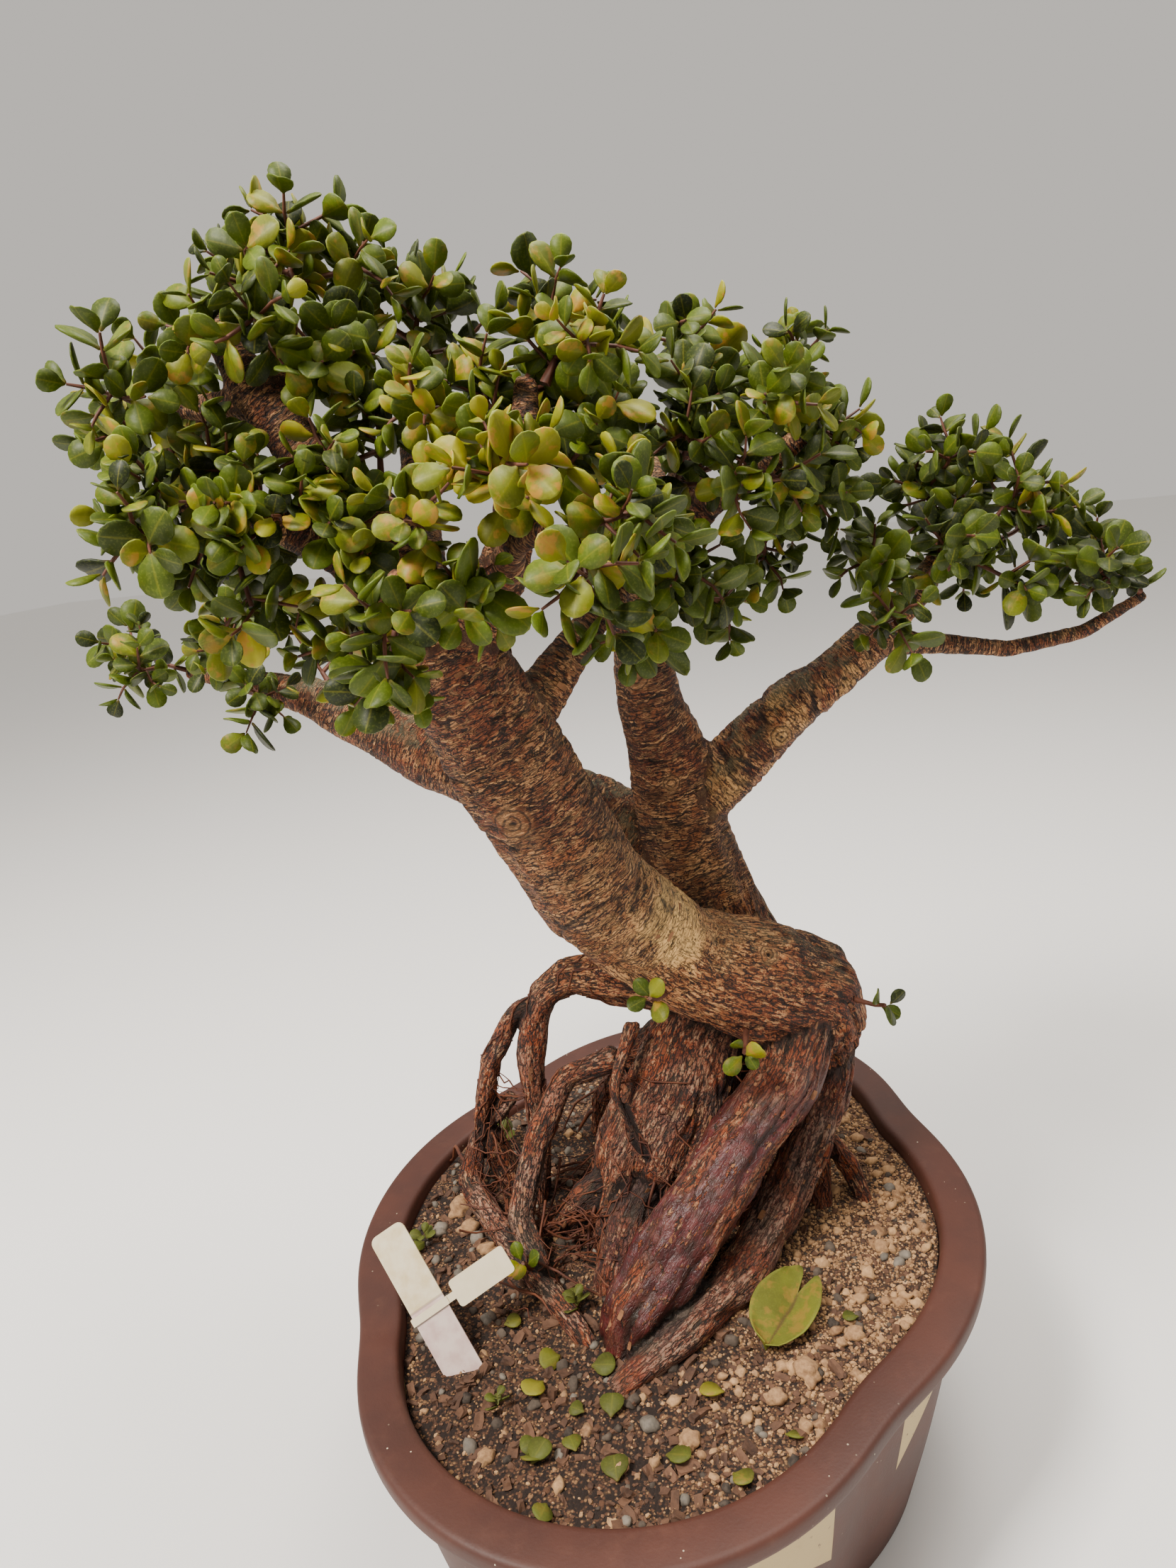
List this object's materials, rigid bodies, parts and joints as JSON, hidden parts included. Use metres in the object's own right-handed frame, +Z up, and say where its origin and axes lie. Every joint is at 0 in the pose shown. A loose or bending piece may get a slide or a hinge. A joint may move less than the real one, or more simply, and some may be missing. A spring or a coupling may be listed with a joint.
{
  "type": "potted bonsai tree",
  "caption": "Dwarf jade bonsai with a bent trunk, raised bare roots and fleshy round leaves, growing in a lobed brown stoneware pot with a bare plant tag.",
  "frame": {"origin": "centre of the pot's flat base, on the surface that it stands on", "axes": "+Z up, +Y along the pot's long way towards its back, -Y towards the open front of the tree"},
  "size_m": [0.6384, 0.46, 0.7321],
  "materials": {
    "pot": "matt unglazed stoneware",
    "soil": "loose pumice and grit",
    "bark": "rough bark",
    "leaf": "smooth fleshy leaves",
    "tag": "matt",
    "label": "matt"
  },
  "bodies": {
    "root": {"pot": "pot", "soil": "soil", "trunk_and_roots": "bark", "plant_tag": "tag", "tag_label": "label", "spray_peak_1": "leaf", "spray_peak_2": "leaf", "spray_left_arm_1": "leaf", "spray_left_arm_2": "leaf", "spray_middle_left_1": "leaf", "spray_middle_left_2": "leaf", "spray_low_left_1": "leaf", "spray_low_left_2": "leaf", "spray_front_left_1": "leaf", "spray_front_left_2": "leaf", "spray_front_middle_1": "leaf", "spray_front_middle_2": "leaf", "spray_top_middle_1": "leaf", "spray_top_middle_2": "leaf", "spray_top_middle_3": "leaf", "spray_top_middle_4": "leaf", "spray_right_lobe_1": "leaf", "spray_right_lobe_2": "leaf", "spray_low_middle_1": "leaf", "spray_right_side_1": "leaf", "spray_right_side_2": "leaf", "spray_stem_top_1": "leaf", "spray_far_side_1": "leaf", "spray_back_1": "leaf", "spray_back_left_1": "leaf", "spray_back_left_2": "leaf", "spray_back_left_tip_1": "leaf", "spray_right_cluster_1": "leaf", "spray_right_cluster_2": "leaf", "spray_right_cluster_3": "leaf", "spray_right_cluster_4": "leaf", "spray_right_far_1": "leaf", "sprout_trunk": "leaf", "sprout_bend": "leaf", "sprout_side": "leaf", "sprout_root": "leaf"}
  },
  "joints": []
}
